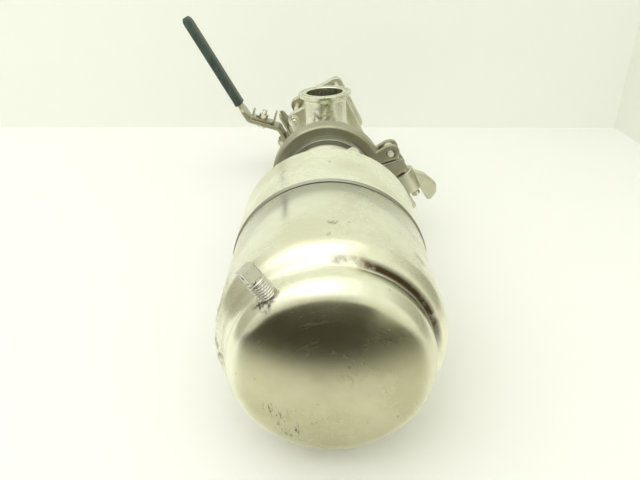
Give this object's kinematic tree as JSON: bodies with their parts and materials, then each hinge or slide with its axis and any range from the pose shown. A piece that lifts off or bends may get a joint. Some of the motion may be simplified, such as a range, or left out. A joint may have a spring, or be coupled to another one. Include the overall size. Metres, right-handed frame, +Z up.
{
  "type": "sanitary diaphragm valve",
  "caption": "Angle shut-off valve with a diaphragm-sealed stem, spring-return piston actuator, hinged clamp joint and an in-line lever ball valve.",
  "frame": {"origin": "middle of the valve's footprint, on the surface its actuator collar lies on, branch pointing up", "axes": "+Z up along the branch; +Y along the main axis from the actuator's dome to the outlet ferrule; the main axis is at x = 0.0266 m, z = 0.061 m and the branch axis at y = 0.088 m"},
  "size_m": [0.2414, 0.526, 0.1816],
  "materials": {
    "satin_steel": "satin stainless, turned and spun",
    "cast_steel": "blasted stainless casting",
    "dark_steel": "dull dark steel",
    "bright_steel": "polished stainless",
    "spring_steel": "oiled spring steel",
    "polymer": "white fluoropolymer",
    "elastomer": "black rubber",
    "vinyl": "dark green dipped vinyl"
  },
  "bodies": {
    "valve": {"actuator_base": "satin_steel", "actuator_shell": "satin_steel", "retaining_ring": "dark_steel", "rod_bush": "polymer", "rod_seal": "elastomer", "spring_plate": "cast_steel", "outer_spring": "spring_steel", "inner_spring": "spring_steel", "vent_plug": "bright_steel", "air_fitting": "bright_steel", "mounting_screw_1": "dark_steel", "mounting_screw_2": "dark_steel", "mounting_screw_3": "dark_steel", "mounting_screw_4": "dark_steel", "bonnet": "satin_steel", "bonnet_bush": "polymer", "diaphragm": "elastomer", "valve_body": "satin_steel", "clamp_upper_half": "cast_steel", "clamp_lower_half": "cast_steel", "clamp_hinge_pin": "bright_steel", "swing_bolt_pin": "bright_steel", "inlet_end_cap": "cast_steel", "centre_body": "cast_steel", "outlet_end_cap": "cast_steel", "ball_seat_1": "polymer", "ball_seat_2": "polymer", "stem_packing": "polymer", "gland": "cast_steel", "stop_plate": "cast_steel", "body_bolt_1": "bright_steel", "body_bolt_2": "bright_steel", "body_bolt_3": "bright_steel", "body_bolt_4": "bright_steel", "body_nut_1": "bright_steel", "body_nut_2": "bright_steel", "body_nut_3": "bright_steel", "body_nut_4": "bright_steel"},
    "stem": {"piston": "cast_steel", "piston_seal": "elastomer", "piston_rod": "bright_steel", "piston_nut": "cast_steel", "stem_coupling": "cast_steel", "valve_stem": "bright_steel", "plug_seal": "polymer", "compressor": "cast_steel"},
    "swing_bolt": {"swing_bolt": "bright_steel"},
    "wing_nut": {"wing_nut": "cast_steel"},
    "lever": {"ball": "bright_steel", "ball_stem": "bright_steel", "spring_washer": "spring_steel", "packing_nut": "cast_steel", "stem_nut": "bright_steel", "lever": "cast_steel", "lever_grip": "vinyl", "lock_bolt": "bright_steel", "lock_nut": "bright_steel"},
    "lock": {"lock_plate": "cast_steel"}
  },
  "joints": [
    {"name": "stem_stroke", "type": "slide", "parent": "valve", "child": "stem", "axis": [0, -1, 0], "range_m": [0, 0.015], "stiffness_N_per_m": 6000, "springref_m": -0.05, "deforming": ["outer_spring", "inner_spring", "diaphragm"]},
    {"name": "lever_turn", "type": "hinge", "parent": "valve", "child": "lever", "pos_m": [0.02659, 0.188, 0.061], "axis": [-0.9063, 0, -0.4226], "range_deg": [0, 90]},
    {"name": "lock_slide", "type": "slide", "parent": "lever", "child": "lock", "axis": [0.9397, 0, -0.342], "range_m": [0, 0.005]},
    {"name": "swing_bolt_pivot", "type": "hinge", "parent": "valve", "child": "swing_bolt", "pos_m": [0.07996, 0.008, 0.08257], "axis": [0, -1, 0], "range_deg": [0, 100]},
    {"name": "wing_nut_spin", "type": "hinge", "parent": "swing_bolt", "child": "wing_nut", "pos_m": [0.09596, 0.008, 0.05486], "axis": [0.5, 0, -0.866], "continuous": true}
  ]
}
